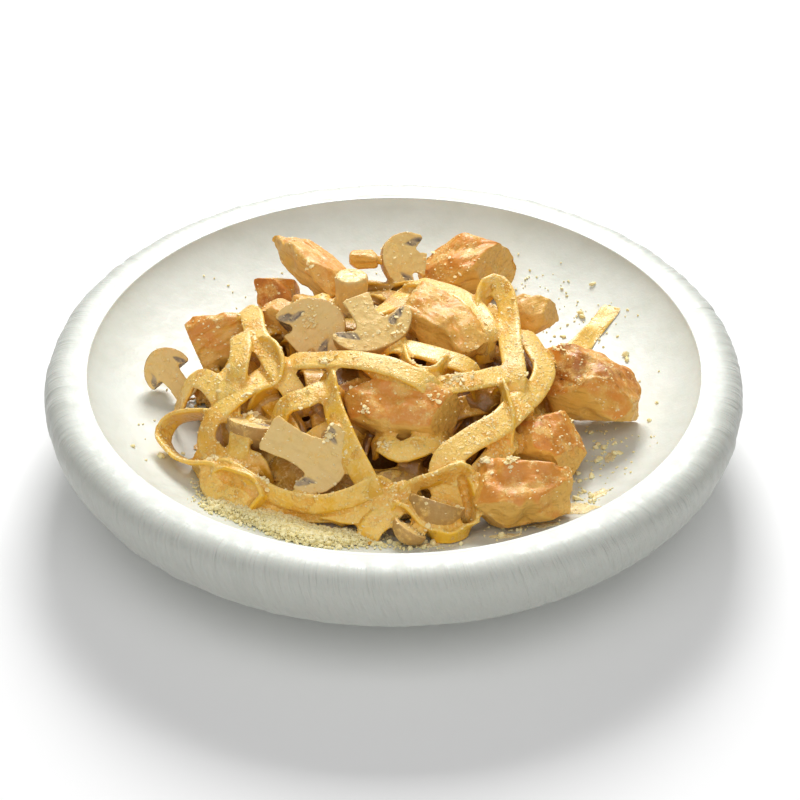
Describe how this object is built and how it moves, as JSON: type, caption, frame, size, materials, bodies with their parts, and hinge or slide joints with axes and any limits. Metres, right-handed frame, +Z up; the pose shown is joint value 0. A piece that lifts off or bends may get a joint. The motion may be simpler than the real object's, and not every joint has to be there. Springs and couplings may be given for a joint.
{
  "type": "filled pasta bowl",
  "caption": "Fettuccine alfredo with seared chicken, cut mushrooms and grated cheese in a wide white bowl with a thick rolled rim and a foot ring.",
  "frame": {"origin": "middle of the bowl's foot ring, on the table", "axes": "+Z up, +X to the right and the side shown in the picture towards -Y"},
  "size_m": [0.26, 0.26, 0.0763],
  "materials": {
    "bowl_glaze": "soft matte white ceramic glaze",
    "sauced_noodles": "cooked pasta coated with cream sauce, wet satin",
    "seared_chicken": "seared chicken, brown on top and pale on its cut faces",
    "cut_mushroom": "cooked mushroom with a light sauce film",
    "grated_cheese": "dry grated hard cheese"
  },
  "bodies": {
    "root": {"bowl": "bowl_glaze", "noodles": "sauced_noodles", "chicken_back_tip": "seared_chicken", "chicken_back_left": "seared_chicken", "chicken_left_block": "seared_chicken", "chicken_back_right": "seared_chicken", "chicken_right_block": "seared_chicken", "chicken_right_wedge": "seared_chicken", "chicken_front_right": "seared_chicken", "chicken_middle": "seared_chicken", "chicken_top": "seared_chicken", "chicken_slice": "seared_chicken", "chicken_small": "seared_chicken", "chicken_crumbly": "seared_chicken", "chicken_tucked": "seared_chicken", "mushroom_far_left": "cut_mushroom", "mushroom_top_slice": "cut_mushroom", "mushroom_wedge": "cut_mushroom", "mushroom_front_slice": "cut_mushroom", "mushroom_back_half": "cut_mushroom", "mushroom_grey_cap": "cut_mushroom", "mushroom_front_cap": "cut_mushroom", "mushroom_loop_cap": "cut_mushroom", "mushroom_stem": "cut_mushroom", "grated_cheese": "grated_cheese"}
  },
  "joints": []
}
